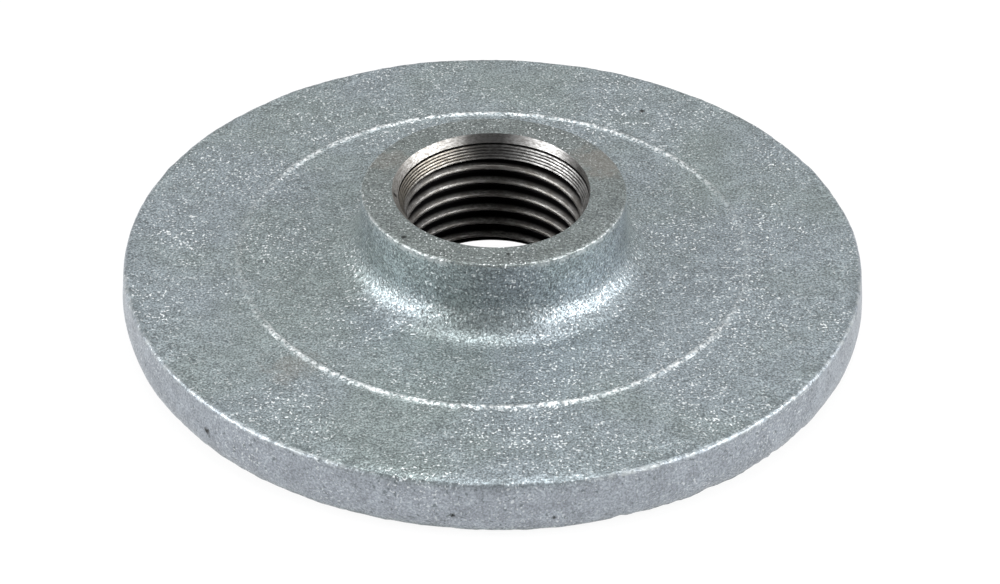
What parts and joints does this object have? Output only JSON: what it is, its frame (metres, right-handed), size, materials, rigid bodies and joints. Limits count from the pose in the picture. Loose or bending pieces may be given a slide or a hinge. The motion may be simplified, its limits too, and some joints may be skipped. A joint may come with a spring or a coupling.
{
  "type": "round screwed base flange",
  "caption": "Round cast base flange with a raised hub, tapped with a parallel pipe thread for a tube; the plate is undrilled.",
  "frame": {"origin": "on the bore's axis, at the flat back face of the plate", "axes": "+Z along the bore, out of the top of the hub, where the tube screws in"},
  "size_m": [0.0806, 0.0806, 0.0143],
  "materials": {
    "galvanised_iron": "hot-dip galvanised casting skin; the bore is machined bare"
  },
  "bodies": {
    "root": {"flange": "galvanised_iron"}
  },
  "joints": []
}
